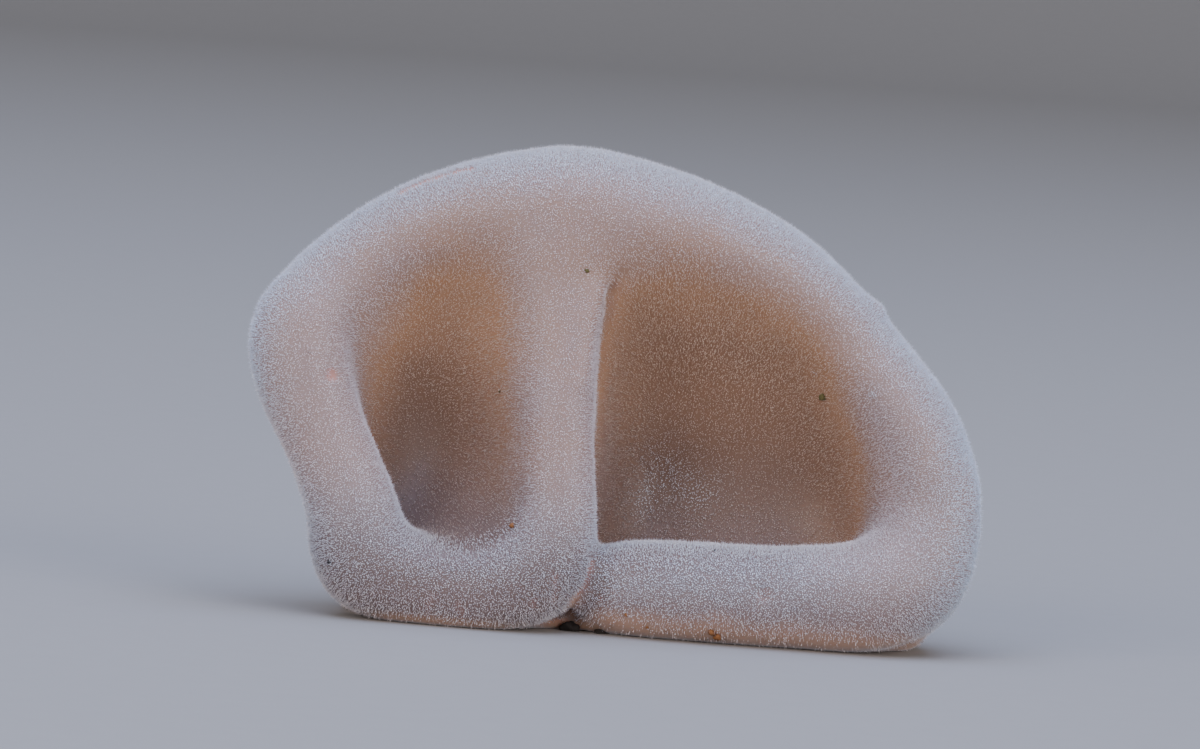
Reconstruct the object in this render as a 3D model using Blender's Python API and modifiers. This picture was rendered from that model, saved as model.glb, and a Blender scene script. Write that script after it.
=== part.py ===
"""A young wood ear fungus, cut flat from the log that it grew on.

The ear is one piece of jelly-like flesh, so it is one solid. It is modelled like clay. The hood is a ball pressed
to the outline of the ear, with a rim and two hollows pressed into its open side and a domed, folded back. Fat
rolls are then laid along the log, up the left side and up the middle, where the roll leans over the hollow on its
right. The whole is blended once more, and a knife cut at Z = 0 leaves the flat base.

Blender units are metres, +Z is up and the open side faces -Y. Points below are in millimetres. A roll's points
are X to the right, Y away from the open side, Z above the cut, then the radius of the roll there.
"""

import math

import bmesh
import bpy
import numpy
from mathutils import Vector

MM = 0.001

# The hood's edge seen from the front, as X and Z. It runs on below the cut, because the log hid its foot.
HOOD_OUTLINE = [
    (-9.6, 1.5),
    (-10.7, 5.2),
    (-12.55, 8.6),
    (-11.9, 10.8),
    (-9.4, 13.2),
    (-6.2, 14.9),
    (-2.9, 15.7),
    (0.3, 15.3),
    (3.6, 14.2),
    (6.4, 12.45),
    (9.0, 9.9),
    (10.7, 7.7),
    (11.5, 5.2),
    (11.0, 2.2),
    (9.3, -0.6),
    (4.6, -1.8),
    (-3.0, -1.8),
    (-8.4, -1.0),
]
HOOD_MIDDLE = (-0.5, 6.0)
RIM_WIDTH = 1.9

# How far back the hood's open side lies, as X, Z and Y at each place. The surface through them is as smooth as a
# bent plate. In order: the rim, the foot, the left hollow, the slope up to the middle fold, the right hollow.
OPEN_SIDE = [
    (-10.7, 8.8, -2.6),
    (-9.6, 11.2, -2.7),
    (-7.2, 13.0, -2.7),
    (-4.7, 13.9, -2.8),
    (-2.8, 14.1, -2.9),
    (0.0, 13.6, -2.8),
    (3.0, 12.6, -2.7),
    (5.4, 11.2, -2.7),
    (7.5, 9.3, -2.8),
    (9.1, 7.0, -2.9),
    (9.7, 4.6, -2.8),
    (9.0, 2.0, -1.5),
    (-7.0, 0.2, -2.2),
    (-4.2, 0.2, -2.4),
    (-1.4, 0.2, -1.7),
    (1.0, 0.2, -1.6),
    (4.0, 0.2, -1.8),
    (7.2, 0.2, -1.8),
    (-8.6, 2.5, -1.4),
    (-9.2, 5.5, -1.6),
    (-8.9, 9.4, -1.5),
    (-7.9, 11.2, -1.7),
    (-5.4, 12.6, -2.2),
    (-7.2, 9.6, -0.6),
    (-7.5, 7.4, 0.3),
    (-7.0, 5.4, 0.8),
    (-6.6, 4.2, 0.2),
    (-5.6, 3.3, -1.9),
    (-4.4, 3.0, -3.1),
    (-5.4, 10.4, -1.2),
    (-5.7, 7.4, 0.0),
    (-5.5, 5.2, 0.0),
    (-4.4, 10.4, -2.0),
    (-4.6, 7.4, -1.3),
    (-4.5, 4.8, -1.5),
    (-3.4, 12.0, -2.9),
    (-3.5, 9.4, -2.9),
    (-3.6, 6.6, -2.8),
    (-3.6, 4.0, -2.9),
    (-2.6, 9.6, -3.4),
    (-2.6, 7.2, -3.8),
    (-2.6, 4.8, -4.0),
    (-0.9, 12.2, -2.4),
    (-0.6, 10.2, -1.0),
    (-0.5, 7.8, 0.3),
    (-0.4, 5.4, 0.9),
    (-0.2, 3.4, 1.0),
    (1.2, 12.0, -2.0),
    (3.8, 11.2, -1.8),
    (6.0, 9.8, -1.6),
    (7.7, 7.6, -1.6),
    (8.4, 5.4, -1.4),
    (2.0, 9.6, -0.3),
    (4.6, 8.2, 0.2),
    (6.2, 6.4, 0.4),
    (1.6, 6.6, 1.3),
    (1.8, 4.2, 1.6),
    (4.6, 4.6, 1.3),
    (6.8, 4.2, 0.7),
]

# The back is a dome. Shallow folds fan out across it from a point under its foot, and fade before its edge.
BACK_DEPTH = 4.1
FOLD_FOOT = (-0.5, -4.0)
FOLDS_PER_TURN = 16
FOLD_DEPTH = 0.55

# The left lobe's roll: down the left side, along the log, then up the middle of the ear.
LEFT_ROLL = [
    (-9.4, -0.7, 11.6, 1.20),
    (-10.3, -1.1, 10.45, 1.40),
    (-11.0, -1.6, 9.2, 1.65),
    (-10.75, -1.9, 7.5, 1.60),
    (-9.85, -2.2, 5.6, 1.42),
    (-8.95, -2.4, 3.7, 1.50),
    (-8.3, -2.5, 1.9, 1.72),
    (-6.2, -2.7, 1.3, 1.50),
    (-4.3, -2.8, 1.3, 1.50),
    (-2.7, -2.9, 2.0, 1.55),
    (-2.2, -2.9, 3.6, 1.30),
    (-2.3, -2.8, 5.6, 1.15),
    (-2.4, -2.5, 7.7, 1.15),
    (-2.35, -2.1, 9.7, 1.15),
    (-2.15, -1.6, 11.4, 1.20),
    (-2.1, -1.0, 12.8, 1.15),
]

# The right lobe's roll: from behind the left lobe along the log, then up the right side.
RIGHT_ROLL = [
    (-1.2, -1.6, 1.3, 1.20),
    (0.4, -2.0, 1.55, 1.60),
    (3.0, -2.2, 1.6, 1.65),
    (5.6, -2.2, 1.65, 1.70),
    (8.0, -2.1, 1.85, 1.85),
    (9.5, -1.7, 2.7, 1.85),
    (10.15, -1.4, 4.4, 1.50),
    (10.2, -1.1, 6.2, 1.15),
]

CLAY_VOXEL = 0.30 * MM
HOOD_SMOOTHING = 15
BODY_SMOOTHING = 8
TRIANGLE_SHARE = 0.25
WELD_DISTANCE = 0.01 * MM
TINY = 1e-9

FLESH_COLOUR = (0.52, 0.36, 0.31, 1.0)
FLESH_ROUGHNESS = 0.55

STEPS_PER_SPAN = 6
ROLL_SIDES = 5
BALL_SEGMENTS = 128
BALL_RINGS = 96
LOG_SIZE = 60 * MM


def clear_scene():
    for found in list(bpy.data.objects):
        bpy.data.objects.remove(found, do_unlink=True)


def new_collection(name):
    made = bpy.data.collections.new(name)
    bpy.context.scene.collection.children.link(made)
    return made


def move_to(collection, found):
    for owner in list(found.users_collection):
        owner.objects.unlink(found)
    collection.objects.link(found)


def smooth_route(points):
    """Places along a Catmull-Rom curve through the points, each with its radius."""
    rows = [Vector(p) for p in points]
    first = rows[0] * 2 - rows[1]
    last = rows[-1] * 2 - rows[-2]
    padded = [first, *rows, last]
    route = []
    for before, start, end, after in zip(padded, padded[1:], padded[2:], padded[3:]):
        for step in range(STEPS_PER_SPAN):
            t = step / STEPS_PER_SPAN
            bend = (2 * before - 5 * start + 4 * end - after) * t * t
            twist = (3 * start - before - 3 * end + after) * t * t * t
            route.append((2 * start + (end - before) * t + bend + twist) / 2)
    return [*route, rows[-1]]


def roll(name, points, collection):
    """A round roll of flesh, as a mesh, that follows the points."""
    curve = bpy.data.curves.new(name, "CURVE")
    curve.dimensions = "3D"
    curve.bevel_depth = MM
    curve.bevel_resolution = ROLL_SIDES
    curve.use_fill_caps = True
    route = smooth_route(points)
    spline = curve.splines.new("POLY")
    spline.points.add(len(route) - 1)
    for place, at in zip(spline.points, route):
        place.co = (*(at.xyz * MM), 1.0)
        place.radius = at.w
    guide = bpy.data.objects.new(name + "_guide", curve)
    bpy.context.scene.collection.objects.link(guide)
    bpy.context.view_layer.update()
    graph = bpy.context.evaluated_depsgraph_get()
    mesh = bpy.data.meshes.new_from_object(guide.evaluated_get(graph))
    bpy.data.objects.remove(guide)
    made = bpy.data.objects.new(name, mesh)
    collection.objects.link(made)
    weld = made.modifiers.new("close_caps", "WELD")
    weld.merge_threshold = WELD_DISTANCE
    return made


def cut_away(target, cutter):
    cut = target.modifiers.new(f"cut_{cutter.name}", "BOOLEAN")
    cut.operation = "DIFFERENCE"
    cut.object = cutter


def lay_together(name, pieces, collection):
    """One object that holds the finished meshes of all the pieces."""
    bpy.context.view_layer.update()
    graph = bpy.context.evaluated_depsgraph_get()
    heap = bmesh.new()
    for piece in pieces:
        finished = bpy.data.meshes.new_from_object(piece.evaluated_get(graph))
        heap.from_mesh(finished)
        bpy.data.meshes.remove(finished)
    mesh = bpy.data.meshes.new(name)
    heap.to_mesh(mesh)
    heap.free()
    made = bpy.data.objects.new(name, mesh)
    collection.objects.link(made)
    return made


def blend(target, iterations):
    """Melts overlapping shapes into one skin of even faces, then smooths it."""
    remesh = target.modifiers.new("clay", "REMESH")
    remesh.mode = "VOXEL"
    remesh.voxel_size = CLAY_VOXEL
    smooth = target.modifiers.new("soften", "SMOOTH")
    smooth.factor = 0.5
    smooth.iterations = iterations


def bent_plate(places):
    """A function of X and Z: the thin plate spline that passes through every place."""
    table = numpy.array(places)
    flat = table[:, :2]
    count = len(table)

    def spread(points):
        gap = numpy.linalg.norm(points[:, None] - flat[None], axis=2)
        return gap ** 2 * numpy.log(gap + TINY)

    def plane(points):
        return numpy.column_stack([numpy.ones(len(points)), points])

    system = numpy.zeros((count + 3, count + 3))
    system[:count, :count] = spread(flat)
    system[:count, count:] = plane(flat)
    system[count:, :count] = plane(flat).T
    weights = numpy.linalg.solve(system, numpy.append(table[:, 2], (0, 0, 0)))
    return lambda points: spread(points) @ weights[:count] + plane(points) @ weights[count:]


def outline_reach(angles):
    """Distance from the hood's middle to its outline, for each angle round the Y axis."""
    closed = [*HOOD_OUTLINE, HOOD_OUTLINE[0]]
    route = smooth_route([(x, z, 0.0, 0.0) for x, z in closed])[:-1]
    gaps = numpy.array([(place.x - HOOD_MIDDLE[0], place.y - HOOD_MIDDLE[1]) for place in route])
    bearing = numpy.arctan2(gaps[:, 1], gaps[:, 0])
    order = numpy.argsort(bearing)
    reach = numpy.linalg.norm(gaps, axis=1)
    return numpy.interp(angles, bearing[order], reach[order], period=2 * math.pi)


def make_hood(helpers):
    """A ball pressed into the shape of the cup: outline, rim, two hollows in front and a domed back."""
    bpy.ops.mesh.primitive_uv_sphere_add(segments=BALL_SEGMENTS, ring_count=BALL_RINGS, radius=1.0)
    hood = bpy.context.active_object
    hood.name = "hood"
    ball = numpy.array([tuple(vertex.co) for vertex in hood.data.vertices])
    in_front = ball[:, 2] > 0.0
    angle = numpy.arctan2(ball[:, 1], ball[:, 0])
    share = numpy.hypot(ball[:, 0], ball[:, 1])
    reach = outline_reach(angle)

    def place(radius):
        return numpy.column_stack([
            HOOD_MIDDLE[0] + radius * numpy.cos(angle),
            HOOD_MIDDLE[1] + radius * numpy.sin(angle),
        ])

    crest = reach - RIM_WIDTH
    rim_share = numpy.clip((share * reach - crest) / RIM_WIDTH, 0.0, 1.0)
    front = bent_plate(OPEN_SIDE)(place(numpy.minimum(share * reach, crest)))
    front = front * numpy.sqrt(1.0 - rim_share ** 2)
    flat = place(share * reach)
    bearing = numpy.arctan2(flat[:, 1] - FOLD_FOOT[1], flat[:, 0] - FOLD_FOOT[0])
    fade = share * (1.0 - share ** 4)
    folds = FOLD_DEPTH * fade * numpy.cos(FOLDS_PER_TURN * bearing)
    back = BACK_DEPTH * numpy.sqrt(1.0 - share ** 2 + TINY) + folds
    depth = numpy.where(in_front, front, back)
    for vertex, (x, z), y in zip(hood.data.vertices, flat, depth):
        vertex.co = Vector((x, y, z)) * MM
    move_to(helpers, hood)
    blend(hood, HOOD_SMOOTHING)
    return hood


def log_surface(helpers):
    """A block that stands for the log and everything below the knife cut."""
    bpy.ops.mesh.primitive_cube_add(size=1.0)
    block = bpy.context.active_object
    block.name = "log_surface"
    for vertex in block.data.vertices:
        vertex.co *= LOG_SIZE
        vertex.co.z -= LOG_SIZE / 2
    move_to(helpers, block)
    return block


def flesh_material():
    material = bpy.data.materials.new("ear_flesh")
    material.use_nodes = True
    shader = material.node_tree.nodes["Principled BSDF"]
    shader.inputs["Base Color"].default_value = FLESH_COLOUR
    shader.inputs["Roughness"].default_value = FLESH_ROUGHNESS
    shader.inputs["Metallic"].default_value = 0.0
    return material


def make_ear(collection, helpers):
    """The whole fruiting body as one solid, cut flat where it met the log."""
    left = roll("left_roll", LEFT_ROLL, helpers)
    right = roll("right_roll", RIGHT_ROLL, helpers)
    ear = lay_together("fruiting_body", [left, right, make_hood(helpers)], collection)
    blend(ear, BODY_SMOOTHING)
    cut_away(ear, log_surface(helpers))
    thin = ear.modifiers.new("fewer_faces", "DECIMATE")
    thin.ratio = TRIANGLE_SHARE
    thin.use_collapse_triangulate = True
    ear.data.materials.append(flesh_material())
    return ear


def main():
    clear_scene()
    collection = new_collection("wood_ear")
    helpers = new_collection("wood_ear_cutters")
    make_ear(collection, helpers)
    for helper in helpers.objects:
        helper.hide_render = True
        helper.display_type = "WIRE"


main()
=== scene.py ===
"""The looks of a young wood ear: skin, down, dirt and studio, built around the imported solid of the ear.

The ear is jelly fungus flesh under a coat of fine white down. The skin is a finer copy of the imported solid,
with wrinkles, dimples and scuffs worked into it. The down is a mesh of single hairs, thin on the floors of
the two hollows and thick on the rolls. Everything is in metres; names ending in MM hold millimetres.
"""

import math

import bmesh
import bpy
import numpy as np
from mathutils import Matrix, Vector, noise
from mathutils.bvhtree import BVHTree


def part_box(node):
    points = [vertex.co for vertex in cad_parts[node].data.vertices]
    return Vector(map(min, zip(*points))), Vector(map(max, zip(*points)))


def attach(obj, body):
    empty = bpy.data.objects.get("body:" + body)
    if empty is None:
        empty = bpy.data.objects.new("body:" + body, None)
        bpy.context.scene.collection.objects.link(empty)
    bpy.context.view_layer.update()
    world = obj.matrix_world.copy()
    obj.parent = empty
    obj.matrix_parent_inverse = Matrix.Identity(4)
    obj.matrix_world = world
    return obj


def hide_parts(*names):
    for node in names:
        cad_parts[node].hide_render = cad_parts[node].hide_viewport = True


bl_info = {
    "name": "Wood Ear",
    "version": (1, 0, 0),
    "blender": (4, 5, 0),
    "location": "View3D > Sidebar > Wood Ear",
    "description": "Skin, down, dirt and studio for a young wood ear fungus",
    "category": "Object",
}

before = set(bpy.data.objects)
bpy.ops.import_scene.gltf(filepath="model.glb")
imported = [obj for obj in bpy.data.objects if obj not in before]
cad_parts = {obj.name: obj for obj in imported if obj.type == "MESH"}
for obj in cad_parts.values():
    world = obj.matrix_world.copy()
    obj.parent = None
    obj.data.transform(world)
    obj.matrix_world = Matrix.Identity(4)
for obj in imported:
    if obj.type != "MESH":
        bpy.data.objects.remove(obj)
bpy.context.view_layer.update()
NODE = "fruiting_body"
LOW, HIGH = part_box(NODE)
HEIGHT = HIGH.z - LOW.z
MM = 0.001
# The seed of everything random, and how many slices across the ear the down is made in.
SEED = 5
DOWN_SLICES = 5

# Where the front of the ear stands: the lips of the hollows lean forward towards the foot, and the rims at
# the sides are set back. Y in millimetres.
LIP_AT_TOP_MM = -3.0
LIP_AT_FOOT_MM = -4.2
RIGHT_SET_BACK_MM = 2.2
LEFT_SET_BACK_MM = 1.2
HOLLOW_DEPTH_MM = 4.6
# How far across the sides start to be set back, and where they are all the way.
RIGHT_SIDE_MM = (5.2, 8.8)
LEFT_SIDE_MM = (6.0, 8.5)
# The hollows start this far inside the outline, and nothing this far back belongs to them.
HOLLOW_INSET_MM = (0.6, 2.2)
HOLLOW_BACK_MM = (1.9, 2.4)
# Rounds of evening out, which let the hollows' brown, with its painted shade and warm glow, fade into the
# pale skin over a millimetre or two.
HOLLOW_ROUNDS = 140

# The ear's outline is measured along this many rays from a place this far above the foot.
OUTLINE_RAYS = 180
OUTLINE_MIDDLE_MM = 5.0

# Where the looks of the skin change, its painted shade and painted skylight among them, across or up in
# millimetres, or by how far inside a hollow a place is: from where the change begins to where it is complete.
RIGHT_LOBE_MM = (-1.6, -0.6)
ROLLS_END_MM = (2.0, 6.0)
ROLLS_LOW_EDGE_MM = (0.6, 2.0)
RIGHT_ROLL_MM = (4.5, 9.0)
RIGHT_RIM_MM = (8.0, 11.0)
RIM_HEIGHT_MM = (5.0, 8.0)
RIM_INSET_MM = (0.2, 2.0)
LEFT_FLOOR_MM = (4.5, 10.0)
LEFT_BOTTOM_MM = (3.2, 5.5)
LEFT_SLOPE_MM = (-4.4, -3.0)
RIGHT_FLOOR_MM = (3.5, 9.0)
RIGHT_WALL_MM = (5.0, 7.0)
LEFT_FLOOR_SHARE = (0.02, 0.15)
RIGHT_FLOOR_SHARE = (0.02, 0.2)
# How far back the skin faces, from -1 to 1, where it turns into the ear's back and where it leaves the front.
FACING_BACK = (0.2, 0.8)
LEAVING_FRONT = (-0.3, 0.5)
# The clear strip along the foot, and how much broader it is under the right lobe.
FOOT_MM = 0.45
FOOT_BROADER_MM = 0.75
# The lower part of each roll is in its own shade up to here, less this much for the right lobe.
ROLL_TOP_MM = 4.4
ROLL_TOP_LOWER_MM = 1.4

# The camera looks at this place, moved across and up so that the ear sits near the middle of the view.
VIEW_MIDDLE = Vector((0.0, -3.0 * MM, 0.0))
VIEW_SHIFT = (-0.55 * MM, 8.55 * MM)
# A line of sight that misses the skin is followed this many millimetres on, to see where it passes closest.
MISSED_SIGHT_MM = 8

# Marks in the skin, in millimetres: where each shows from the front, as X across and Z up from the foot, then
# its half width, its depth, which is negative where it stands out, and how bare of down it is.
MARKS = (
    # The crease where the left lobe's roll lies over the right one.
    (((-0.85, 3.2), (-0.98, 2.4), (-1.05, 1.8), (-1.4, 1.2), (-1.75, 0.7)), 0.14, 0.12, 0.5),
    # Upright creases in the rolls where they press on the log.
    (((-2.16, 1.9), (-2.16, 1.05)), 0.09, 0.07, 0.3),
    (((-2.75, 1.0), (-2.8, 0.3)), 0.10, 0.08, 0.3),
    (((-0.64, 1.2), (-0.64, 0.25)), 0.10, 0.07, 0.3),
    (((-0.18, 1.5), (-0.2, 0.3)), 0.09, 0.06, 0.2),
    (((-1.05, 1.6), (-1.15, 0.9)), 0.08, 0.05, 0.2),
    (((-6.1, 0.9), (-6.15, 0.4)), 0.09, 0.06, 0.2),
    (((-5.2, 0.8), (-5.1, 0.35)), 0.09, 0.05, 0.2),
    # A dent high on the left roll and a dimple low on the right one.
    (((-9.84, 7.84),), 0.26, 0.10, 0.8),
    (((4.7, 1.73),), 0.30, 0.10, 0.2),
    (((4.5, 1.95), (4.75, 1.6)), 0.10, 0.05, 0.0),
    # A knob on the rim, and a short nick beside it.
    (((8.0, 11.7),), 0.4, -0.2, 0.0),
    (((7.55, 11.75), (7.75, 11.55)), 0.10, 0.10, 0.4),
    # A scuff along the rim, rubbed bare.
    (((-8.02, 13.91), (-7.15, 14.39), (-6.75, 14.56)), 0.17, 0.06, 1.0),
    (((-6.5, 14.66), (-5.8, 14.86)), 0.14, 0.06, 1.0),
    # Crinkles on the floor of the right hollow.
    (((0.3, 5.9), (0.6, 5.5), (0.55, 5.0), (0.8, 4.6)), 0.08, 0.03, 0.0),
    (((0.75, 6.0), (1.05, 5.5), (1.0, 4.9)), 0.08, 0.03, 0.0),
    (((1.2, 5.83), (1.6, 5.83)), 0.06, 0.02, 0.0),
    (((1.3, 5.4), (1.5, 4.8), (1.35, 4.4)), 0.08, 0.03, 0.0),
    # The middle fold's edge stands up along its upper half, beside a groove.
    (((-0.72, 11.75), (-0.95, 11.3)), 0.3, 0.10, 0.0),
    (((-1.0, 11.1), (-1.06, 10.3), (-1.14, 9.0), (-1.18, 8.2)), 0.26, 0.24, 0.0),
    (((-1.45, 11.2), (-1.6, 10.3), (-1.7, 9.0), (-1.75, 8.2)), 0.35, -0.12, 0.0),
    # A pad of bare flesh bulges out under the crease.
    (((-2.5, 0.25), (-1.9, 0.3), (-1.2, 0.2)), 0.28, -0.10, 0.8),
    # A faint ring on the slope of the middle fold.
    (((-2.6, 9.0), (-2.75, 9.25), (-3.05, 9.25), (-3.2, 9.0), (-3.05, 8.75), (-2.75, 8.75), (-2.6, 9.0)),
     0.06, 0.03, 0.0),
)

# Faint swells all over the skin, in millimetres: how high, how long, and an offset that makes each its own.
SWELLS = ((0.05, 3.2, 0.0), (0.018, 0.9, 7.0), (0.005, 0.32, 13.0))
# The skin stays flat on the cut: marks and swells grow from nothing to their full depth over this height.
ABOVE_CUT_MM = (0.02, 0.3)

# Where the hollows run out over their rolls without an edge, as routes of (X, Z) with a half width and rounds
# of smoothing: at the bottom of the left hollow, and along the outer wall of the right one.
SOFT_WALLS = (
    (((-6.4, 3.1), (-5.6, 2.95), (-4.6, 2.95), (-3.8, 3.1)), 0.75, 120),
    (((4.2, 10.8), (6.2, 9.4), (7.4, 7.6), (7.9, 6.0), (7.8, 4.8)), 1.3, 400),
)
# Clear flesh shows between the lobes where the crease opens at the foot.
OPEN_CREASE = (((-1.45, 1.15), (-1.62, 0.85), (-1.5, 0.65)), 0.24)
# The crease shades the end of the right lobe's roll.
SHADED_CREASE = (((-0.5, 2.5), (-0.6, 1.8), (-0.9, 1.0)), 0.7)
# Down grows thin in the angle behind the middle fold.
THIN_DOWN = (((-0.72, 12.0), (-0.98, 10.3), (-1.1, 8.9), (-1.12, 7.6), (-0.9, 5.4), (-0.5, 3.7)), 0.3)
# Places where the down is clotted white, as routes with a half width and how white each is.
CLOTS = (
    (((9.42, 8.5), (9.6, 8.2)), 0.3, 1.0),
    (((7.69, 8.47),), 0.2, 1.0),
    (((5.82, 9.08),), 0.09, 1.0),
    # Paler bluish patches low in the hollows: denser down with a painted bluish tint of the shade it lies in.
    (((-5.4, 2.5), (-3.4, 2.6)), 0.35, 0.5),
    (((0.6, 4.5), (1.1, 5.4), (2.2, 4.8)), 1.1, 0.6),
)

# Dirt on the skin, in millimetres: what it is, where it shows from the front as X across and Z up, and its
# width.
CRUMBS = (
    ("algae", 6.11, 8.29, 0.24), ("algae", -1.85, 11.82, 0.15), ("algae", -4.38, 7.71, 0.10),
    ("rotten_wood", -3.64, 3.37, 0.20), ("rotten_wood", 0.24, 0.78, 0.12), ("rotten_wood", 0.95, 0.41, 0.10),
    ("rotten_wood", 3.05, 0.42, 0.22), ("rotten_wood", 3.25, 0.30, 0.26),
    ("frass", -9.49, 1.77, 0.16), ("frass", 2.97, 3.04, 0.10),
    ("frass", -1.54, 0.28, 0.60), ("frass", -0.55, 0.18, 0.36),
)
# What each kind of dirt looks like: its light and dark colours, and the scale of its grain.
DIRT = {
    "algae": ("#6d6436", "#3c3a1e", 9000.0),
    "rotten_wood": ("#a5703f", "#5d3820", 6000.0),
    "frass": ("#2c2420", "#0d0b0b", 7000.0),
}
# A crumb wider than this is seen closely enough to need finer faces.
LARGE_CRUMB_MM = 0.3
# The shape of a crumb: how deep its lumps go, how flat it is, and how far its middle stands off the skin, all
# beside its width.
CRUMB_LUMPS = 0.55
CRUMB_FLATNESS = 0.75
CRUMB_LIFT = 0.2

# The floor runs back and then bends up into a backdrop: how far it reaches back, to the front and to each
# side, the radius of its bend, the backdrop's height and the number of points along the bend.
FLOOR_BACK = 0.9
FLOOR_FRONT = -0.6
FLOOR_SIDE = 1.2
FLOOR_BEND = 0.25
BACKDROP_HEIGHT = 0.9
BEND_POINTS = 16
# The soft lights: name, place, width, watts and colour.
LIGHTS = (
    ("overhead", (0.0, -0.08, 0.42), 0.5, 3.1, "#b9ceff"),
    ("front_left", (-0.35, -0.45, 0.2), 0.4, 1.9, "#fff2ec"),
    ("front_right", (0.4, -0.4, 0.15), 0.4, 2.1, "#fff6f4"),
)
ROOM_COLOUR = "#e9e7ea"
ROOM_STRENGTH = 0.58


# ---------------------------------------------------------------- colours and nodes


def srgb(hex_code):
    """A linear colour from an sRGB hex code."""
    parts = [int(hex_code[i:i + 2], 16) / 255 for i in (1, 3, 5)]
    return (*[p / 12.92 if p <= 0.04045 else ((p + 0.055) / 1.055) ** 2.4 for p in parts], 1.0)


def add_node(tree, kind, inputs=None, **settings):
    """Adds a node. Inputs are its sockets by name or number, each with an output to link to it or a value to
    hold. Settings are its properties, or the values of sockets by name, with _ for each space."""
    node = tree.nodes.new(kind)
    for name, value in settings.items():
        if hasattr(node, name):
            setattr(node, name, value)
        else:
            node.inputs[name.replace("_", " ")].default_value = value
    for name, source in (inputs or {}).items():
        if isinstance(source, bpy.types.NodeSocket):
            tree.links.new(source, node.inputs[name])
        else:
            node.inputs[name].default_value = source
    return node


def new_material(name):
    """A material with an empty node tree."""
    material = bpy.data.materials.new(name)
    material.use_nodes = True
    material.node_tree.nodes.clear()
    return material


def finish_material(material, shader):
    """Joins the shader to the material's output."""
    add_node(material.node_tree, "ShaderNodeOutputMaterial", {"Surface": shader.outputs[0]})
    return material


# ---------------------------------------------------------------- settings a user would change


class WoodEarSkin(bpy.types.PropertyGroup):
    grain: bpy.props.FloatProperty(
        name="Grain", description="Size of the skin's faces", default=0.135 * MM, unit="LENGTH", precision=5)
    softening: bpy.props.IntProperty(
        name="Softening", description="Rounds of smoothing over the solid's facets", default=14, min=0)
    pale: bpy.props.FloatVectorProperty(
        name="Pale", description="Skin of the rim and rolls", default=srgb("#9c8782"), size=4,
        subtype="COLOR")
    # Painted warm glow on the slopes of the hollows, over brown flesh.
    warm: bpy.props.FloatVectorProperty(
        name="Warm", description="Skin on the slopes of the hollows", default=srgb("#a67e5e"), size=4,
        subtype="COLOR")
    # Brown flesh of the hollows' floors, darkened with painted shade.
    deep: bpy.props.FloatVectorProperty(
        name="Deep", description="Skin on the floors of the hollows", default=srgb("#916f57"), size=4,
        subtype="COLOR")
    # Painted shade at the bottom of the hollows, under the rolls and in the crease.
    low: bpy.props.FloatVectorProperty(
        name="Low", description="Skin at the bottom of the hollows", default=srgb("#66524b"), size=4,
        subtype="COLOR")
    bare: bpy.props.FloatVectorProperty(
        name="Bare", description="Skin that is rubbed bare", default=srgb("#c0887a"), size=4, subtype="COLOR")
    foot: bpy.props.FloatVectorProperty(
        name="Foot", description="Clear skin along the foot", default=srgb("#b4907a"), size=4,
        subtype="COLOR")
    # Painted shade on the lower rolls, made bluish by painted skylight.
    sky_shade: bpy.props.FloatVectorProperty(
        name="Sky shade", description="Skin of the lower rolls", default=srgb("#877f84"), size=4, subtype="COLOR")


class WoodEarDown(bpy.types.PropertyGroup):
    hairs: bpy.props.IntProperty(
        name="Hairs", description="Pointed hairs in each of the slices of down", default=23000, min=0)
    length: bpy.props.FloatProperty(
        name="Length", description="Mean length of a pointed hair", default=0.12 * MM, unit="LENGTH",
        precision=5)
    width: bpy.props.FloatProperty(
        name="Width", description="Width of a pointed hair at its foot", default=0.016 * MM, unit="LENGTH",
        precision=5)
    tip_length: bpy.props.FloatProperty(
        name="Tip length", description="Mean length of a hair with a swollen tip", default=0.055 * MM,
        unit="LENGTH", precision=5)
    tip_width: bpy.props.FloatProperty(
        name="Tip width", description="Width of a swollen tip", default=0.046 * MM, unit="LENGTH",
        precision=5)
    tips: bpy.props.IntProperty(
        name="Tips", description="Most hairs with swollen tips in each of the slices", default=60000, min=0)
    tip_spacing: bpy.props.FloatProperty(
        name="Tip spacing", description="Least gap between the middles of two swollen tips",
        default=0.044 * MM, unit="LENGTH", precision=5)
    lean: bpy.props.FloatProperty(
        name="Lean", description="Furthest that a hair leans over", default=math.radians(18), subtype="ANGLE")
    colour: bpy.props.FloatVectorProperty(
        name="Colour", description="Hairs on the rolls", default=srgb("#f2e9ec"), size=4, subtype="COLOR")
    # Hairs in the hollows carry painted shade and a painted warm glow.
    shaded: bpy.props.FloatVectorProperty(
        name="Shaded", description="Hairs in the hollows", default=srgb("#dec4ad"), size=4, subtype="COLOR")
    # Painted shade on the hairs at the bottom of the hollows and under the rolls.
    low_shade: bpy.props.FloatVectorProperty(
        name="Low shade", description="Hairs at the bottom of the hollows", default=srgb("#b3a49d"), size=4,
        subtype="COLOR")
    # Painted bluish skylight and sheen on the hairs of the rim and the low rolls, also the colour of the
    # white clots.
    clots_and_skylight: bpy.props.FloatVectorProperty(
        name="Clots and skylight", description="Hairs on the rim, the lower rolls and in white clots",
        default=srgb("#e6f2ff"), size=4, subtype="COLOR")


class WoodEarCrumbs(bpy.types.PropertyGroup):
    scale: bpy.props.FloatProperty(
        name="Scale", description="Size of the crumbs beside their listed widths", default=1.0, min=0.1,
        subtype="FACTOR")


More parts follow.
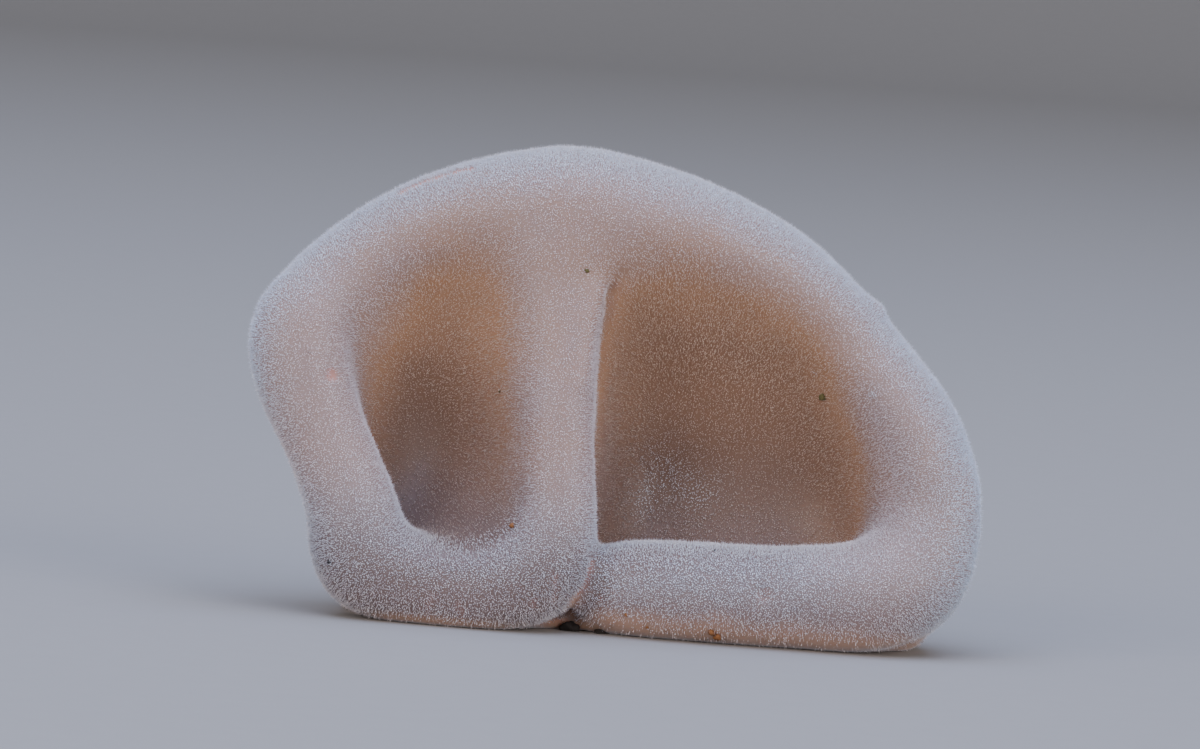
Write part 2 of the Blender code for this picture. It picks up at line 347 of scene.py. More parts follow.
class WoodEarStage(bpy.types.PropertyGroup):
    floor: bpy.props.FloatVectorProperty(
        name="Floor", description="Floor and backdrop", default=srgb("#9c9a97"), size=4, subtype="COLOR")
    distance: bpy.props.FloatProperty(
        name="Camera distance", description="From the ear to the camera", default=0.24, unit="LENGTH")
    view_width: bpy.props.FloatProperty(
        name="View width", description="Width that the camera sees at the ear", default=39 * MM,
        unit="LENGTH")
    elevation: bpy.props.FloatProperty(
        name="Elevation", description="Camera above the level", default=math.radians(4.0), subtype="ANGLE")
    roll: bpy.props.FloatProperty(
        name="Roll", description="Camera turned about its own line of sight", default=math.radians(4.2),
        subtype="ANGLE")


# ---------------------------------------------------------------- line of sight


def view_frame(settings):
    """The camera's rotation and place: near the level of the foot, and turned a little about its own axis."""
    back = Vector((0.0, -math.cos(settings.elevation), math.sin(settings.elevation)))
    turn = (-back).to_track_quat("-Z", "Y").to_matrix() @ Matrix.Rotation(settings.roll, 3, "Z")
    return turn, VIEW_MIDDLE + back * settings.distance + turn @ Vector((*VIEW_SHIFT, 0.0))


def seen(tree, x_mm, z_mm):
    """The place on the skin that shows X across and Z up from the foot, to a viewer at the camera."""
    settings = bpy.context.scene.wood_ear_stage
    eye = view_frame(settings)[1]
    up = Vector((0.0, math.sin(settings.elevation), math.cos(settings.elevation)))
    target = VIEW_MIDDLE + Vector((x_mm * MM, 0.0, 0.0)) + up * z_mm * MM
    sight = (target - eye).normalized()
    place = tree.ray_cast(eye, sight)[0]
    if place:
        return place
    # Past the outline: the place on the skin that the line of sight passes closest to.
    passed = [tree.find_nearest(target + sight * step * MM) for step in range(MISSED_SIGHT_MM + 1)]
    return min(passed, key=lambda hit: hit[3])[0]


# ---------------------------------------------------------------- skin


def mesh_numbers(mesh, name):
    """The X, Y and Z of something that each point of the mesh has: its place or its normal."""
    values = np.zeros(len(mesh.vertices) * 3, np.float32)
    mesh.vertices.foreach_get(name, values)
    return values.reshape(-1, 3).astype(float)


def tree_of(mesh):
    """A tree of the mesh's faces, for finding places on it."""
    return BVHTree.FromPolygons([v.co for v in mesh.vertices], [p.vertices for p in mesh.polygons])


def ease(values, low, high):
    """0 below low, 1 above high, and a smooth step between them."""
    t = np.clip((values - low) / (high - low), 0.0, 1.0)
    return t * t * (3.0 - 2.0 * t)


def waves(places, length_mm, offset):
    """Smooth noise, mostly between -1 and 1, whose swells are about this long."""
    scale = 1.0 / (length_mm * MM)
    shift = Vector((offset, offset, offset))
    return np.array([noise.noise(Vector(place) * scale + shift) for place in places])


def applied(thing):
    """The object's mesh as its modifiers leave it, with the modifiers gone."""
    bpy.context.view_layer.update()
    graph = bpy.context.evaluated_depsgraph_get()
    finished = bpy.data.meshes.new_from_object(thing.evaluated_get(graph))
    thing.modifiers.clear()
    old = thing.data
    thing.data = finished
    bpy.data.meshes.remove(old)
    return thing


def fine_copy(node, name, grain, softening):
    """A copy of a CAD node with small even faces and no facets."""
    body = bmesh.new()
    body.from_mesh(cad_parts[node].data)
    bmesh.ops.remove_doubles(body, verts=body.verts, dist=0.001 * MM)
    mesh = bpy.data.meshes.new(name)
    body.to_mesh(mesh)
    body.free()
    skin = bpy.data.objects.new(name, mesh)
    bpy.context.scene.collection.objects.link(skin)
    remesh = skin.modifiers.new("even_faces", "REMESH")
    remesh.mode = "VOXEL"
    remesh.voxel_size = grain
    smooth = skin.modifiers.new("no_facets", "SMOOTH")
    smooth.factor = 0.5
    smooth.iterations = softening
    return applied(skin)


def gap_to_route(places, route):
    """Distance from each place to a route of points, or to its one point."""
    nearest = np.full(len(places), np.inf)
    for start, end in zip(route, route[1:] or route):
        start, end = np.array(start), np.array(end)
        along = end - start
        length = max(along @ along, 1e-18)
        t = np.clip((places - start) @ along / length, 0.0, 1.0)
        gap = np.linalg.norm(places - start - t[:, None] * along, axis=1)
        nearest = np.minimum(nearest, gap)
    return nearest


def near(tree, places, route, width):
    """How near each place is to a route on the skin: 1 on the route, and fading out past its half width."""
    gap = gap_to_route(places, [seen(tree, x, z) for x, z in route]) / (width * MM)
    return np.exp(-gap * gap)


def soften(skin, tree, route, width, rounds):
    """Smooths the skin along a route until no edge is left there."""
    group = skin.vertex_groups.new(name="soft")
    for number, share in enumerate(near(tree, mesh_numbers(skin.data, "co"), route, width)):
        if share > 0.02:
            group.add([number], share, "REPLACE")
    smooth = skin.modifiers.new("soft_dip", "SMOOTH")
    smooth.factor = 0.5
    smooth.iterations = rounds
    smooth.vertex_group = group.name
    applied(skin)
    skin.vertex_groups.clear()


def mark_skin(mesh, tree):
    """Presses the marks into the skin, and says how bare each point is left, from 0 to 1."""
    places = mesh_numbers(mesh, "co")
    normals = mesh_numbers(mesh, "normal")
    pressed = np.zeros(len(places))
    bare = np.zeros(len(places))
    for route, width, depth, bareness in MARKS:
        shape = near(tree, places, route, width)
        pressed += depth * shape
        bare = np.maximum(bare, bareness * ease(shape, 0.3, 0.7))
    swell = sum(high * waves(places, length, offset) for high, length, offset in SWELLS)
    above_cut = ease(places[:, 2] / MM, *ABOVE_CUT_MM)
    places += normals * ((swell - pressed) * above_cut * MM)[:, None]
    mesh.vertices.foreach_set("co", places.astype(np.float32).ravel())
    mesh.update()
    return bare


def inset_mm(places):
    """How far each place lies inside the ear's outline, as seen from the front."""
    across = places[:, 0] / MM
    up = places[:, 2] / MM - OUTLINE_MIDDLE_MM
    reach = np.hypot(across, up)
    ray = ((np.arctan2(up, across) / math.tau + 0.5) * OUTLINE_RAYS).astype(int) % OUTLINE_RAYS
    furthest = np.zeros(OUTLINE_RAYS)
    np.maximum.at(furthest, ray, reach)
    return furthest[ray] - reach


def hollow_share(places, normals):
    """How far inside a hollow each point of the open side lies: 0 at the lips and 1 on the deepest floor."""
    height = np.clip(places[:, 2] / HEIGHT, 0.0, 1.0)
    across = places[:, 0] / MM
    lip = LIP_AT_FOOT_MM + (LIP_AT_TOP_MM - LIP_AT_FOOT_MM) * height
    lip += RIGHT_SET_BACK_MM * ease(across, *RIGHT_SIDE_MM) + LEFT_SET_BACK_MM * ease(-across, *LEFT_SIDE_MM)
    sunk = (places[:, 1] / MM - lip) / HOLLOW_DEPTH_MM
    facing = ease(-normals[:, 1], 0.0, 0.5)
    inside = (1.0 - ease(places[:, 1] / MM, *HOLLOW_BACK_MM)) * ease(inset_mm(places), *HOLLOW_INSET_MM)
    return np.clip(sunk, 0.0, 1.0) * facing * inside


def spread(mesh, values, rounds):
    """Evens values out over the skin: each round takes every point half way to its neighbours' mean."""
    ends = np.zeros(len(mesh.edges) * 2, np.int32)
    mesh.edges.foreach_get("vertices", ends)
    one, other = ends.reshape(-1, 2).T
    count = len(mesh.vertices)
    neighbours = np.maximum(np.bincount(one, minlength=count) + np.bincount(other, minlength=count), 1)
    for _ in range(rounds):
        total = np.bincount(one, values[other], count) + np.bincount(other, values[one], count)
        values = 0.5 * (values + total / neighbours)
    return values


def store(mesh, name, values):
    """Keeps a number for each point of the mesh as an attribute, for the materials and the down to read."""
    attribute = mesh.attributes.new(name, "FLOAT", "POINT")
    attribute.data.foreach_set("value", np.asarray(values, np.float32))


def share_of(tree, name):
    """The share, from 0 to 1, that the skin's attribute of this name holds."""
    return add_node(tree, "ShaderNodeAttribute", attribute_name=name).outputs["Fac"]


def tinted(tree, under, over, amount):
    """One colour laid over another by an amount from 0 to 1. Each of them is a node's output or a value."""
    mix = add_node(tree, "ShaderNodeMix", {"Factor": amount, 6: under, 7: over}, data_type="RGBA")
    return mix.outputs[2]


def skin_material(settings):
    """Jelly fungus skin: moist, rubbery and a little translucent, so its shadows glow warm. It is greyish
    pink where down grows thick, with painted bluish shade on the low rolls, and clear orange along the foot,
    where it is wet.
    The hollows are brown flesh with painted shade, a painted warm glow on their slopes and darker painted
    shade at their bottoms, as under the rolls and in the crease."""
    material = new_material("jelly_fungus_skin")
    tree = material.node_tree
    place = add_node(tree, "ShaderNodeTexCoord").outputs["Object"]
    # Blotches shift the tint of the hollows a little either way.
    blotch = add_node(tree, "ShaderNodeTexNoise", {"Vector": place}, Scale=600.0, Detail=3.0)
    shift = add_node(
        tree, "ShaderNodeMath", {0: blotch.outputs["Fac"], 1: 0.3, 2: -0.15}, operation="MULTIPLY_ADD")
    tone = add_node(
        tree, "ShaderNodeMath", {0: share_of(tree, "hollow"), 1: shift.outputs[0]}, operation="ADD")
    # The ramp runs from the pale skin through a painted warm glow on the hollows' slopes to brown floors
    # darkened with painted shade.
    ramp = add_node(tree, "ShaderNodeValToRGB", {"Fac": tone.outputs[0]})
    ramp.color_ramp.elements[0].position = 0.01
    ramp.color_ramp.elements[0].color = settings.pale
    ramp.color_ramp.elements[1].position = 0.68
    ramp.color_ramp.elements[1].color = settings.deep
    ramp.color_ramp.elements.new(0.38).color = settings.warm
    colour = ramp.outputs["Color"]
    # Over it go a painted bluish shade on the low rolls, painted shade at the bottom of the hollows, under
    # the rolls and in the crease, then the bare skin and the clear foot.
    for name in ("sky_shade", "low", "bare", "foot"):
        colour = tinted(tree, colour, getattr(settings, name), share_of(tree, name))

    pores = add_node(tree, "ShaderNodeTexNoise", {"Vector": place}, Scale=7000.0, Detail=2.0)
    bump = add_node(
        tree, "ShaderNodeBump", {"Height": pores.outputs["Fac"]}, Strength=0.5, Distance=0.02 * MM)
    wet = add_node(
        tree, "ShaderNodeMapRange", {"Value": share_of(tree, "foot"), "To Min": 0.55, "To Max": 0.3})
    shader = add_node(
        tree, "ShaderNodeBsdfPrincipled",
        {"Base Color": colour, "Normal": bump.outputs["Normal"], "Roughness": wet.outputs[0],
         "Subsurface Radius": (1.0, 0.5, 0.35), "Sheen Tint": srgb("#dfe6f4")},
        Subsurface_Weight=0.45, Subsurface_Scale=0.8 * MM, Sheen_Weight=0.6, Sheen_Roughness=0.35)
    return finish_material(material, shader)


def foot_share(places, tree, right_lobe):
    """How clear the flesh is: along the foot, in a strip with a ragged edge, and where the crease opens."""
    reach = FOOT_MM + FOOT_BROADER_MM * right_lobe
    ragged = places[:, 2] / MM + 0.2 * waves(places, 1.3, 3.0) * reach
    return np.maximum(1.0 - ease(ragged, 0.12 * reach, reach), near(tree, places, *OPEN_CREASE))


def low_hollow_share(hollow, across, height, right_lobe):
    """How much painted shade lies in the bottom of a hollow at each point: in the left one alone, then in
    both.
    The painted shade is lighter on the slope of the middle fold and the outer wall of the right hollow."""
    left = ease(hollow, *LEFT_FLOOR_SHARE) * (1.0 - ease(height, *LEFT_FLOOR_MM))
    left *= (0.6 + 0.4 * (1.0 - ease(height, *LEFT_BOTTOM_MM))) * (1.0 - 0.5 * ease(across, *LEFT_SLOPE_MM))
    right = 0.75 * ease(hollow, *RIGHT_FLOOR_SHARE) * (1.0 - ease(height, *RIGHT_FLOOR_MM))
    right *= 1.0 - 0.5 * ease(across, *RIGHT_WALL_MM)
    return left, left + (right - left) * right_lobe


def skin_shares(mesh, tree, bare):
    """How much of each look every point of the skin has, by the name of the attribute that is to hold it.
    Down can go past 1: it says how thick the hairs stand beside those on a plain roll."""
    places = mesh_numbers(mesh, "co")
    normals = mesh_numbers(mesh, "normal")
    across = places[:, 0] / MM
    height = places[:, 2] / MM
    right_lobe = ease(across, *RIGHT_LOBE_MM)
    behind = ease(normals[:, 1], *FACING_BACK)
    in_front = 1.0 - ease(normals[:, 1], *LEAVING_FRONT)
    hollow = spread(mesh, hollow_share(places, normals), HOLLOW_ROUNDS)
    foot = foot_share(places, tree, right_lobe)

    # Painted bluish skylight lies on the low rolls, and painted bluish sheen along the rim, most of all on
    # the right, and the real white clots of down share its colour. It thins out at the low edge of the rolls
    # and along the right one.
    low_rolls = (1.0 - ease(height, *ROLLS_END_MM)) * (0.35 + 0.65 * ease(height, *ROLLS_LOW_EDGE_MM))
    low_rolls *= (1.0 - ease(hollow, 0.1, 0.35)) * (1.0 - 0.6 * ease(across, *RIGHT_ROLL_MM))
    low_rolls *= in_front
    right_rim = ease(across, *RIGHT_RIM_MM) * (1.0 - ease(hollow, 0.0, 0.2))
    rim = 0.9 * (1.0 - ease(inset_mm(places), *RIM_INSET_MM)) * ease(height, *RIM_HEIGHT_MM)
    clots_and_skylight = np.maximum((0.8 + 0.15 * right_lobe) * low_rolls, np.maximum(right_rim, rim) * in_front)
    for route, width, white in CLOTS:
        clots_and_skylight = np.maximum(clots_and_skylight, white * near(tree, places, route, width))

    # Painted shade darkens the bottoms of the hollows, the undersides of the rolls and the crease. The hairs
    # in the first two get a greyer painted shade.
    low_left, low_hollow = low_hollow_share(hollow, across, height, right_lobe)
    roll_top = ROLL_TOP_MM - ROLL_TOP_LOWER_MM * right_lobe
    under_roll = (0.7 - 0.35 * right_lobe) * (1.0 - ease(height, 0.4 * roll_top, roll_top)) * in_front
    crease = 0.8 * near(tree, places, *SHADED_CREASE)
    low_shade = np.maximum(low_hollow * (1.0 - ease(clots_and_skylight, 0.2, 0.7)), 0.45 * under_roll)

    # Down grows thick on the rim, the low rolls and in the clots, where the painted skylight lies, and thin
    # in the hollows, most of all low in the left one, behind the ear and along the middle fold.
    thick = (1.0 + 0.4 * clots_and_skylight) * (1.0 - 0.3 * hollow) * (1.0 - 0.5 * behind)
    thick *= 1.0 - 0.5 * low_left * (1.0 - right_lobe)
    thick *= 1.0 - 0.7 * near(tree, places, *THIN_DOWN)
    return {
        "hollow": hollow,
        "low": np.maximum(np.maximum(low_hollow, under_roll), crease),
        "low_shade": low_shade,
        "bare": bare,
        "foot": foot,
        "clots_and_skylight": clots_and_skylight * (1.0 - foot),
        "sky_shade": 0.8 * low_rolls * (1.0 - foot),
        "down": thick * (1.0 - bare) * (1.0 - 0.93 * foot),
    }


class WOODEAR_OT_skin(bpy.types.Operator):
    """Make the skin of the ear"""

    bl_idname = "woodear.skin"
    bl_label = "Skin"

    def execute(self, context):
        settings = context.scene.wood_ear_skin
        skin = fine_copy(NODE, "ear_skin", settings.grain, settings.softening)
        tree = tree_of(skin.data)
        for route, width, rounds in SOFT_WALLS:
            soften(skin, tree, route, width, rounds)
        mesh = skin.data
        mesh.shade_smooth()
        bare = mark_skin(mesh, tree)
        for name, values in skin_shares(mesh, tree, bare).items():
            store(mesh, name, values)
        mesh.materials.clear()
        mesh.materials.append(skin_material(settings))
        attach(skin, "root")
        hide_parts(NODE)
        return {"FINISHED"}


# ---------------------------------------------------------------- down


def coat_of_hairs(tree, given, places, shape, seed):
    """Stands a shape on every point, each leaning and turned its own way, larger in clots and painted
    skylight.
    """
    spin = add_node(tree, "FunctionNodeRandomValue", {3: math.tau}, data_type="FLOAT", Seed=seed)
    lean = add_node(tree, "FunctionNodeRandomValue", {3: given["Lean"]}, data_type="FLOAT", Seed=seed + 1)
    way = add_node(tree, "ShaderNodeCombineXYZ", {"X": lean.outputs[1], "Z": spin.outputs[1]})
    tilt = add_node(tree, "FunctionNodeEulerToRotation", {0: way.outputs[0]})
    stand = add_node(
        tree, "FunctionNodeRotateRotation",
        {"Rotation": places.outputs["Rotation"], "Rotate By": tilt.outputs[0]}, rotation_space="LOCAL")
    uneven = add_node(
        tree, "FunctionNodeRandomValue", {0: (0.5, 0.5, 0.5), 1: (1.5, 1.5, 1.5)},
        data_type="FLOAT_VECTOR", Seed=seed + 2)
    # Hairs grow larger in the clots of down and where the painted bluish skylight lies.
    clots_and_skylight = add_node(tree, "GeometryNodeInputNamedAttribute", data_type="FLOAT", Name="clots_and_skylight")
    growth = add_node(
        tree, "ShaderNodeMath", {0: clots_and_skylight.outputs[0], 1: 0.15, 2: 0.92}, operation="MULTIPLY_ADD")
    size = add_node(
        tree, "ShaderNodeVectorMath", {0: uneven.outputs[0], "Scale": growth.outputs[0]}, operation="SCALE")
    return add_node(
        tree, "GeometryNodeInstanceOnPoints",
        {"Points": places.outputs["Points"], "Instance": shape, "Rotation": stand.outputs[0],
         "Scale": size.outputs[0]})


def down_tree():
    """Geometry Nodes: two coats of hairs on a skin. Pointed hairs stand at random, and show as a fringe where
    they are seen from the side. Short hairs with a swollen tip keep a little apart, and show as pale dots."""
    tree = bpy.data.node_groups.new("down", "GeometryNodeTree")
    face = tree.interface
    face.new_socket(name="Skin", in_out="INPUT", socket_type="NodeSocketGeometry")
    for name in (
            "Density", "Length", "Width", "Tip Density", "Tip Spacing", "Tip Length", "Tip Width", "Lean"):
        face.new_socket(name=name, in_out="INPUT", socket_type="NodeSocketFloat")
    face.new_socket(name="Seed", in_out="INPUT", socket_type="NodeSocketInt")
    face.new_socket(name="Material", in_out="INPUT", socket_type="NodeSocketMaterial")
    face.new_socket(name="Hairs", in_out="OUTPUT", socket_type="NodeSocketGeometry")
    given = add_node(tree, "NodeGroupInput").outputs
    share = add_node(tree, "GeometryNodeInputNamedAttribute", data_type="FLOAT", Name="share")

    pointed = add_node(
        tree, "GeometryNodeMeshCone", {"Radius Bottom": given["Width"], "Depth": given["Length"]},
        fill_type="NONE", Vertices=3, Radius_Top=0.0)
    amount = add_node(
        tree, "ShaderNodeMath", {0: share.outputs[0], 1: given["Density"]}, operation="MULTIPLY")
    anywhere = add_node(
        tree, "GeometryNodeDistributePointsOnFaces",
        {"Mesh": given["Skin"], "Density": amount.outputs[0], "Seed": given["Seed"]})
    fringe = coat_of_hairs(tree, given, anywhere, pointed.outputs["Mesh"], SEED)

    swollen = add_node(
        tree, "GeometryNodeMeshCone", {"Radius Top": given["Tip Width"], "Depth": given["Tip Length"]},
        fill_type="NGON", Vertices=3, Radius_Bottom=0.0)
    apart = add_node(
        tree, "GeometryNodeDistributePointsOnFaces",
        {"Mesh": given["Skin"], "Distance Min": given["Tip Spacing"], "Density Max": given["Tip Density"],
         "Density Factor": share.outputs[0], "Seed": given["Seed"]}, distribute_method="POISSON")
    dots = coat_of_hairs(tree, given, apart, swollen.outputs["Mesh"], SEED + 10)

    coats = add_node(tree, "GeometryNodeJoinGeometry", {0: fringe.outputs[0]})
    tree.links.new(dots.outputs[0], coats.inputs[0])
    real = add_node(tree, "GeometryNodeRealizeInstances", {"Geometry": coats.outputs[0]})
    clad = add_node(
        tree, "GeometryNodeSetMaterial", {"Geometry": real.outputs[0], "Material": given["Material"]})
    add_node(tree, "NodeGroupOutput", {0: clad.outputs[0]})
    return tree


def run_nodes(thing, tree, inputs):
    """Puts a Geometry Nodes tree on an object, with its inputs by name, and makes its result a plain mesh."""
    modifier = thing.modifiers.new(tree.name, "NODES")
    modifier.node_group = tree
    for item in tree.interface.items_tree:
        if item.in_out == "INPUT" and item.name in inputs:
            modifier[item.identifier] = inputs[item.name]
    return applied(thing)


def down_material(settings):
    """Down: thin colourless hairs, white on the rolls. In the hollows they carry painted shade and a painted
    warm glow, at the bottom of the hollows and under the rolls a greyer painted shade, and on the rim and the
    low rolls a painted bluish skylight, which the white clots share."""
    material = new_material("fungus_down")
    tree = material.node_tree
    # Hairs in the hollows take painted shade and a painted warm glow.
    inside = add_node(
        tree, "ShaderNodeMapRange", {"Value": share_of(tree, "hollow"), "From Max": 0.45},
        interpolation_type="SMOOTHSTEP")
    tone = tinted(tree, settings.colour, settings.shaded, inside.outputs[0])
    # Painted bluish skylight on the rim, the low rolls and the clots, and painted shade at the bottom of the
    # hollows and under the rolls, go over the hairs' colour.
    for name in ("clots_and_skylight", "low_shade"):
        tone = tinted(tree, tone, getattr(settings, name), share_of(tree, name))
    place = add_node(tree, "ShaderNodeTexCoord").outputs["Object"]
    grain = add_node(tree, "ShaderNodeTexNoise", {"Vector": place}, Scale=4000.0, Detail=1.0)
    patchy = add_node(
        tree, "ShaderNodeMix", {"Factor": grain.outputs["Fac"], 6: tone, 7: (0.65, 0.65, 0.68, 1.0)},
        data_type="RGBA", blend_type="MULTIPLY")
    shader = add_node(
        tree, "ShaderNodeBsdfPrincipled", {"Base Color": patchy.outputs[2]}, Roughness=0.6, Sheen_Weight=0.3)
    return finish_material(material, shader)


def made_skin():
    """The skin, which the down grows on and the crumbs stick to."""
    skin = bpy.data.objects.get("ear_skin")
    if skin is None:
        raise RuntimeError("There is no ear_skin: make the skin first")
    return skin


def down_patches(mesh):
    """Slices across the ear with as many hairs in each, as the density of hairs at every point of the mesh,
    from 0 to 1, and the area of the whole skin, each part of it counted by its density."""
    places = mesh_numbers(mesh, "co")
    density = np.zeros(len(places), np.float32)
    mesh.attributes["down"].data.foreach_get("value", density)
    density /= density.max()
    weight = np.zeros(len(places))
    for polygon in mesh.polygons:
        corners = list(polygon.vertices)
        weight[corners] += polygon.area / len(corners)
    weight *= density
    order = np.argsort(places[:, 0])
    before = np.zeros(len(places))
    before[order] = np.cumsum(weight[order]) - weight[order]
    slice_number = np.minimum((before / weight.sum() * DOWN_SLICES).astype(int), DOWN_SLICES - 1)
    return [np.where(slice_number == number, density, 0.0) for number in range(DOWN_SLICES)], weight.sum()


class WOODEAR_OT_down(bpy.types.Operator):
    """Grow the down on the skin"""

    bl_idname = "woodear.down"
    bl_label = "Down"

    def execute(self, context):
        settings = context.scene.wood_ear_down
        skin = made_skin()
        tree = down_tree()
        material = down_material(settings)
        patches, total = down_patches(skin.data)
        for number, share in enumerate(patches):
            patch = bpy.data.objects.new(f"down_{number + 1}", skin.data.copy())
            bpy.context.scene.collection.objects.link(patch)
            store(patch.data, "share", share)
            run_nodes(patch, tree, {
                "Density": settings.hairs * DOWN_SLICES / total,
                "Length": settings.length,
                "Width": settings.width / 2,
                "Tip Density": settings.tips * DOWN_SLICES / total,
                "Tip Spacing": settings.tip_spacing,
                "Tip Length": settings.tip_length,
                "Tip Width": settings.tip_width / 2,
                "Lean": settings.lean,
                "Seed": SEED + number,
                "Material": material,
            })
            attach(patch, "root")
        return {"FINISHED"}


# ---------------------------------------------------------------- crumbs


def crumb_materials():
    """Dry dirt, all of it matt: olive algae, amber rotten wood and the black droppings of insects."""
    made = {}
    for name, (light, dark, scale) in DIRT.items():
        material = new_material(f"{name}_crumb")
        tree = material.node_tree
        place = add_node(tree, "ShaderNodeTexCoord").outputs["Object"]
        grain = add_node(tree, "ShaderNodeTexNoise", {"Vector": place}, Scale=scale, Detail=3.0)
        colour = tinted(tree, srgb(light), srgb(dark), grain.outputs["Fac"])
        bump = add_node(
            tree, "ShaderNodeBump", {"Height": grain.outputs["Fac"]}, Strength=0.6, Distance=0.01 * MM)
        shader = add_node(
            tree, "ShaderNodeBsdfPrincipled", {"Base Color": colour, "Normal": bump.outputs["Normal"]},
            Roughness=0.85)
        made[name] = finish_material(material, shader)
    return made


def add_crumb(body, place, outward, width, number):
    """A lumpy grain, pressed a little way into the skin and never below the foot."""
    subdivisions = 3 if width > LARGE_CRUMB_MM * MM else 2
    made = bmesh.ops.create_icosphere(body, subdivisions=subdivisions, radius=width / 2)["verts"]
    turn = outward.to_track_quat("Z", "Y").to_matrix()
    for corner in made:
        # The crumb's number moves it to other lumps than the last one's.
        lump = noise.noise(corner.co / width * 2.6 + Vector((number * 7.3, 0.0, 0.0)))
        shaped = corner.co * (1.0 + CRUMB_LUMPS * lump)
        shaped.z *= CRUMB_FLATNESS
        corner.co = place + turn @ (shaped + Vector((0.0, 0.0, width * CRUMB_LIFT)))
        corner.co.z = max(corner.co.z, LOW.z)


class WOODEAR_OT_crumbs(bpy.types.Operator):
    """Stick the crumbs of dirt to the skin"""

    bl_idname = "woodear.crumbs"
    bl_label = "Crumbs"

    def execute(self, context):
        scale = context.scene.wood_ear_crumbs.scale
        mesh = made_skin().data
        tree = tree_of(mesh)
        for kind, material in crumb_materials().items():
            body = bmesh.new()
            for number, (name, x, z, width) in enumerate(CRUMBS):
                if name == kind:
                    place, outward = tree.find_nearest(seen(tree, x, z))[:2]
                    add_crumb(body, place, outward, width * scale * MM, number)
            made = bpy.data.meshes.new(f"{kind}_crumbs")
            body.to_mesh(made)
            body.free()
            made.shade_smooth()
            made.materials.append(material)
            crumbs = bpy.data.objects.new(made.name, made)
            bpy.context.scene.collection.objects.link(crumbs)
            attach(crumbs, "root")
        return {"FINISHED"}


# ---------------------------------------------------------------- stage


def backdrop(colour):
    """A pale floor that sweeps up into a backdrop, well outside the ear."""
    line = [(FLOOR_FRONT, 0.0)]
    for angle in np.linspace(0.0, math.pi / 2, BEND_POINTS):
        along = FLOOR_BACK - FLOOR_BEND + FLOOR_BEND * math.sin(angle)
        line.append((along, FLOOR_BEND - FLOOR_BEND * math.cos(angle)))
    line.append((FLOOR_BACK, BACKDROP_HEIGHT))
    body = bmesh.new()
    rows = [[body.verts.new((x, y, z + LOW.z)) for y, z in line] for x in (-FLOOR_SIDE, FLOOR_SIDE)]
    for i in range(len(line) - 1):
        body.faces.new((rows[0][i], rows[1][i], rows[1][i + 1], rows[0][i + 1]))
    mesh = bpy.data.meshes.new("floor")
    body.to_mesh(mesh)
    body.free()
    mesh.shade_smooth()
    floor = bpy.data.objects.new("floor", mesh)
    bpy.context.scene.collection.objects.link(floor)
    material = new_material("matt_paper")
    tree = material.node_tree
    place = add_node(tree, "ShaderNodeTexCoord").outputs["Object"]
    grain = add_node(tree, "ShaderNodeTexNoise", {"Vector": place}, Scale=900.0)
    darker = [c * 0.96 for c in colour[:3]] + [1.0]
    tone = tinted(tree, colour, darker, grain.outputs["Fac"])
    shader = add_node(tree, "ShaderNodeBsdfPrincipled", {"Base Color": tone}, Roughness=0.9)
    mesh.materials.append(finish_material(material, shader))


def soft_light(name, place, target, size, power, colour):
    """A square lamp that faces the target."""
    light = bpy.data.lights.new(name, "AREA")
    light.shape = "SQUARE"
    light.size = size
    light.energy = power
    light.color = colour[:3]
    lamp = bpy.data.objects.new(name, light)
    lamp.location = place
    lamp.rotation_euler = (Vector(target) - Vector(place)).to_track_quat("-Z", "Y").to_euler()
    bpy.context.scene.collection.objects.link(lamp)


def camera(settings):
    """A long lens, as for a close-up taken from a little way off."""
    data = bpy.data.cameras.new("camera")
    data.sensor_width = 36.0
    data.lens = data.sensor_width * settings.distance / settings.view_width
    data.clip_start = 0.01
    data.clip_end = 10.0
    found = bpy.data.objects.new("camera", data)
    bpy.context.scene.collection.objects.link(found)
    turn, place = view_frame(settings)
    found.rotation_euler = turn.to_euler()
    found.location = place
    bpy.context.scene.camera = found


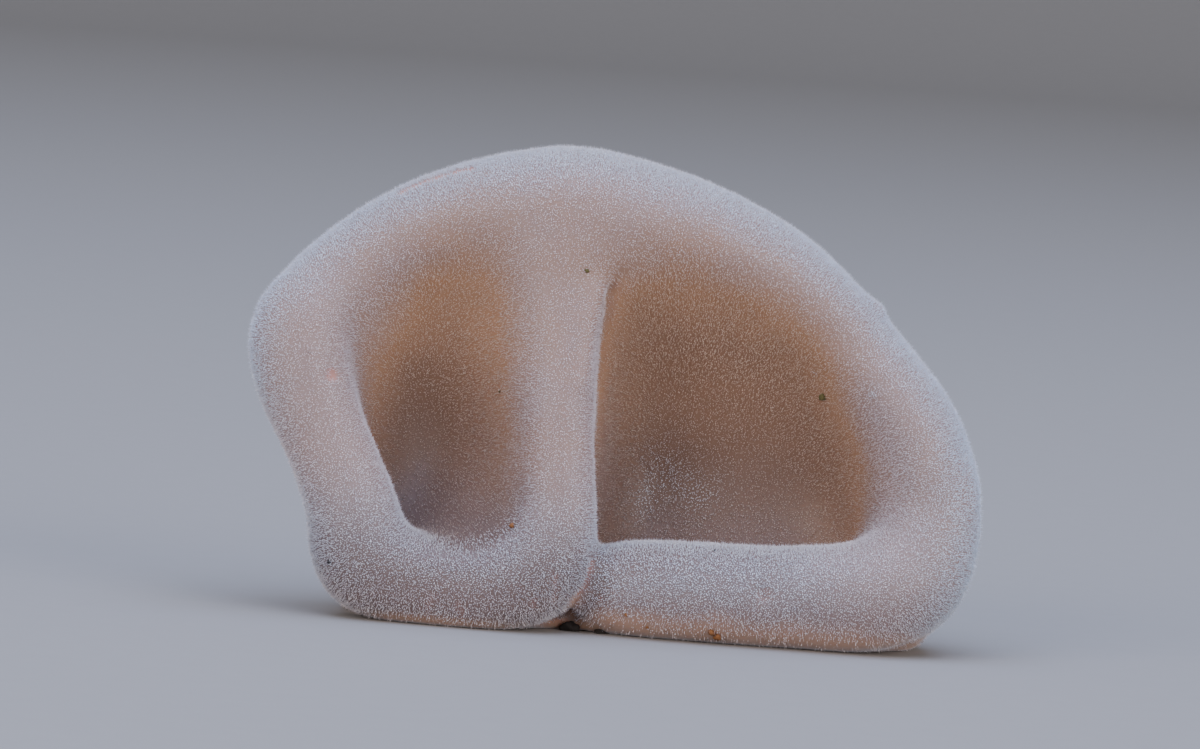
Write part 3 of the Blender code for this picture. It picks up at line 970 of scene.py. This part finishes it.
class WOODEAR_OT_stage(bpy.types.Operator):
    """Make the floor, the lights and the camera"""

    bl_idname = "woodear.stage"
    bl_label = "Stage"

    def execute(self, context):
        settings = context.scene.wood_ear_stage
        backdrop(settings.floor)
        for name, place, size, power, colour in LIGHTS:
            soft_light(name, place, (0.0, 0.0, HEIGHT / 2), size, power, srgb(colour))
        world = bpy.data.worlds.new("studio")
        world.use_nodes = True
        background = world.node_tree.nodes["Background"]
        background.inputs["Color"].default_value = srgb(ROOM_COLOUR)
        background.inputs["Strength"].default_value = ROOM_STRENGTH
        bpy.context.scene.world = world
        camera(settings)
        return {"FINISHED"}


class WOODEAR_PT_panel(bpy.types.Panel):
    """Lists the pieces of the ear in the order they are made"""

    bl_label = "Wood Ear"
    bl_space_type = "VIEW_3D"
    bl_region_type = "UI"
    bl_category = "Wood Ear"

    def draw(self, context):
        for group, operator in (
                ("wood_ear_skin", "woodear.skin"),
                ("wood_ear_down", "woodear.down"),
                ("wood_ear_crumbs", "woodear.crumbs"),
                ("wood_ear_stage", "woodear.stage")):
            box = self.layout.box()
            settings = getattr(context.scene, group)
            for name in settings.__annotations__:
                box.prop(settings, name)
            box.operator(operator)


GROUPS = {
    "wood_ear_skin": WoodEarSkin,
    "wood_ear_down": WoodEarDown,
    "wood_ear_crumbs": WoodEarCrumbs,
    "wood_ear_stage": WoodEarStage,
}
CLASSES = (
    *GROUPS.values(), WOODEAR_OT_skin, WOODEAR_OT_down, WOODEAR_OT_crumbs, WOODEAR_OT_stage, WOODEAR_PT_panel)


def register():
    for found in CLASSES:
        bpy.utils.register_class(found)
    for name, group in GROUPS.items():
        setattr(bpy.types.Scene, name, bpy.props.PointerProperty(type=group))


def unregister():
    for name in GROUPS:
        delattr(bpy.types.Scene, name)
    for found in reversed(CLASSES):
        bpy.utils.unregister_class(found)


def main():
    register()
    bpy.ops.woodear.skin()
    bpy.ops.woodear.down()
    bpy.ops.woodear.crumbs()
    bpy.ops.woodear.stage()


if __name__ == "__main__":
    main()
